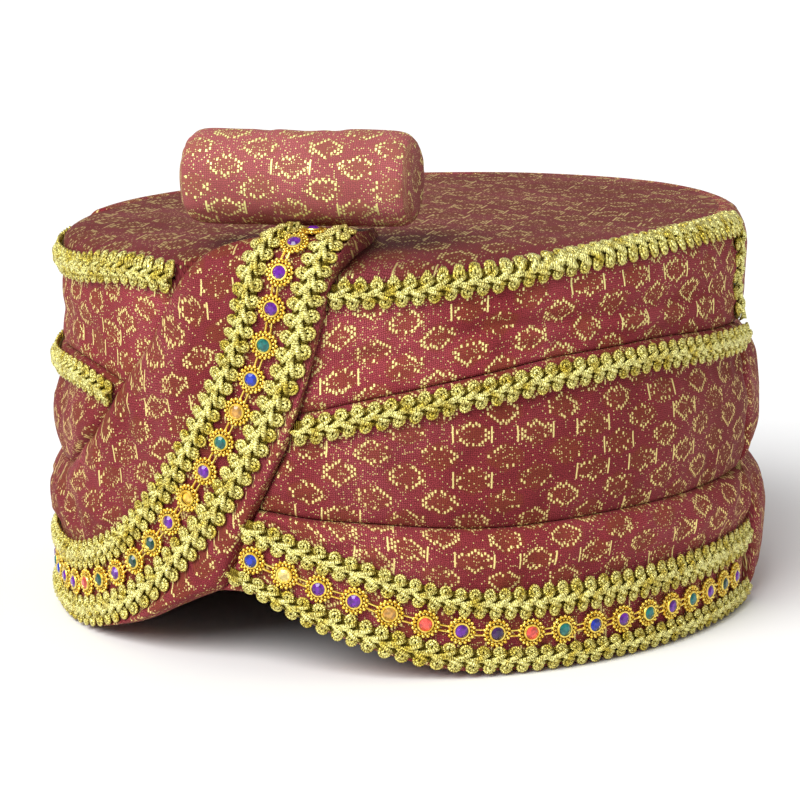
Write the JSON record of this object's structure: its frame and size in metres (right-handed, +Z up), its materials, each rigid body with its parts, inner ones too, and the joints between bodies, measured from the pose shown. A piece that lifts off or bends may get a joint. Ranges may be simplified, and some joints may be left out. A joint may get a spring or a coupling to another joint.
{
  "type": "tied turban pagri",
  "caption": "Ready tied turban: padded brocade folds on a stiff hollow crown, a jewelled band climbing across the front to a padded roll, and a pleated back.",
  "frame": {"origin": "on the surface that the hem rests on, at the middle of the oval", "axes": "+Z up, -Y towards the wearer's front, +X towards the wearer's left, which is the viewer's right from the front"},
  "size_m": [0.2128, 0.2386, 0.1433],
  "materials": {
    "brocade": "maroon brocade with woven gold motifs and a fine glittering net",
    "gimp_braid": "metallic gold gimp braid",
    "gilt_setting": "gilt beaded settings with small cut glass stones in mixed colours"
  },
  "bodies": {
    "root": {"crown": "brocade", "upper_fold": "brocade", "middle_fold": "brocade", "lower_fold": "brocade", "back_panel": "brocade", "front_band": "brocade", "top_roll": "brocade", "upper_braid_left": "gimp_braid", "upper_braid_right": "gimp_braid", "middle_braid_left": "gimp_braid", "middle_braid_right": "gimp_braid", "side_braid_left": "gimp_braid", "side_braid_right": "gimp_braid", "band_left_braid": "gimp_braid", "band_right_braid": "gimp_braid", "hem_upper_braid": "gimp_braid", "hem_lower_braid": "gimp_braid", "band_jewels": "gilt_setting", "hem_jewels": "gilt_setting"}
  },
  "joints": []
}
